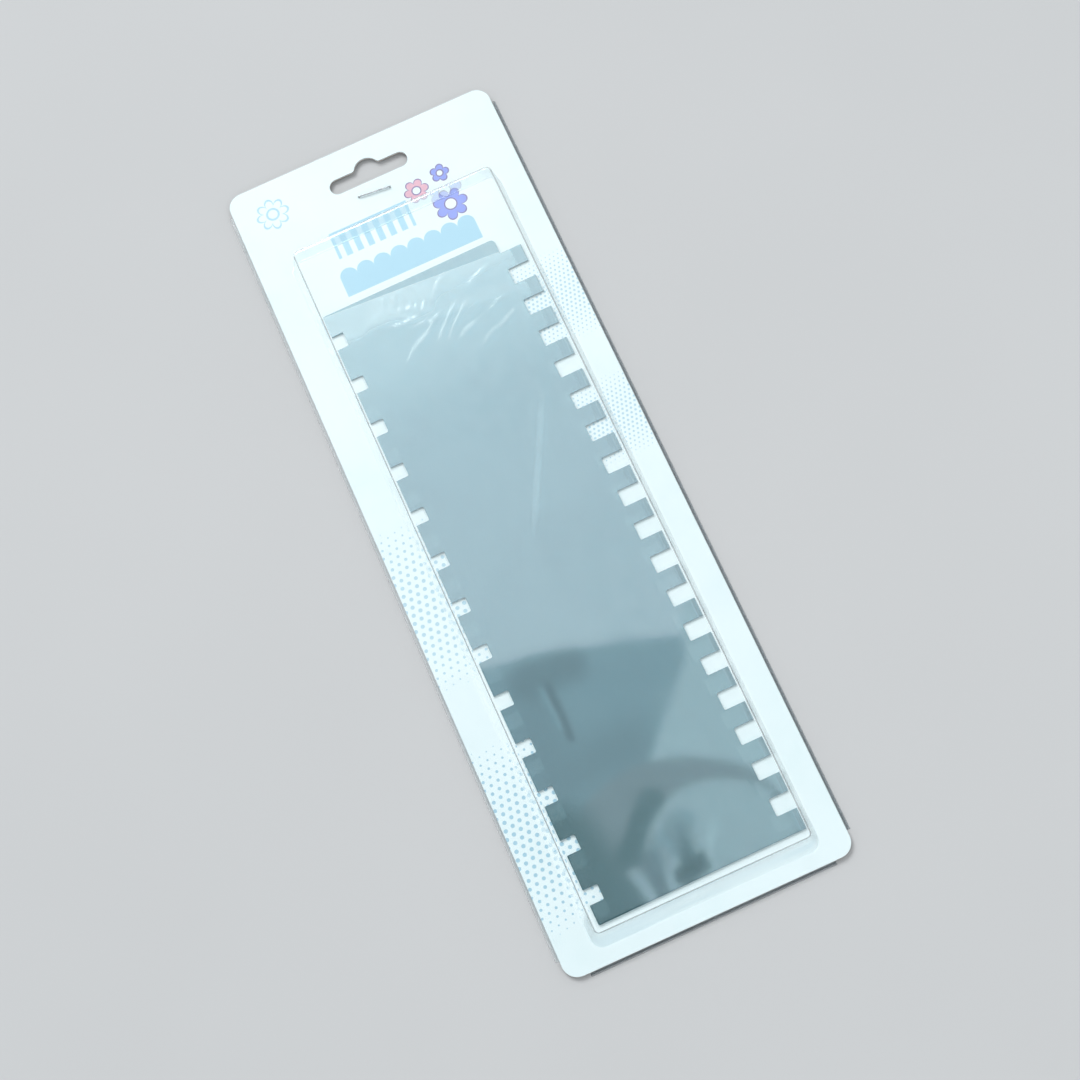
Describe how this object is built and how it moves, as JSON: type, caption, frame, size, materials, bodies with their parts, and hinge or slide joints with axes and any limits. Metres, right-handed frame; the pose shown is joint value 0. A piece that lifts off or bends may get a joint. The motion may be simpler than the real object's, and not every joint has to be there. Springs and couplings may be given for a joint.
{
  "type": "icing smoother",
  "caption": "Flat stamped steel icing comb with a different square-toothed edge on each side, in a clear slide blister on a printed hanging card.",
  "frame": {"origin": "middle of the pack's outline, on the surface that its back lies on", "axes": "+X across the card to the coarse comb's side, +Y along the card to the hang slot, +Z out of the card through the bubble"},
  "size_m": [0.0974, 0.287, 0.0156],
  "materials": {
    "clear_blister": "gloss",
    "coated_card": "satin",
    "blade_steel": "satin",
    "clear_film": "gloss",
    "staple_wire": "satin"
  },
  "bodies": {
    "blister": {"blister_shell": "clear_blister", "staple": "staple_wire"},
    "card": {"backing_card": "coated_card"},
    "blade": {"comb_blade": "blade_steel", "blade_film": "clear_film"}
  },
  "joints": [
    {"name": "card_slide", "type": "slide", "parent": "blister", "child": "card", "axis": [0, 1, 0], "range_m": [0, 0.28], "deforming": ["staple"]},
    {"name": "blade_slide", "type": "slide", "parent": "blister", "child": "blade", "axis": [0, 1, 0], "range_m": [-0.006, 0.02]}
  ]
}
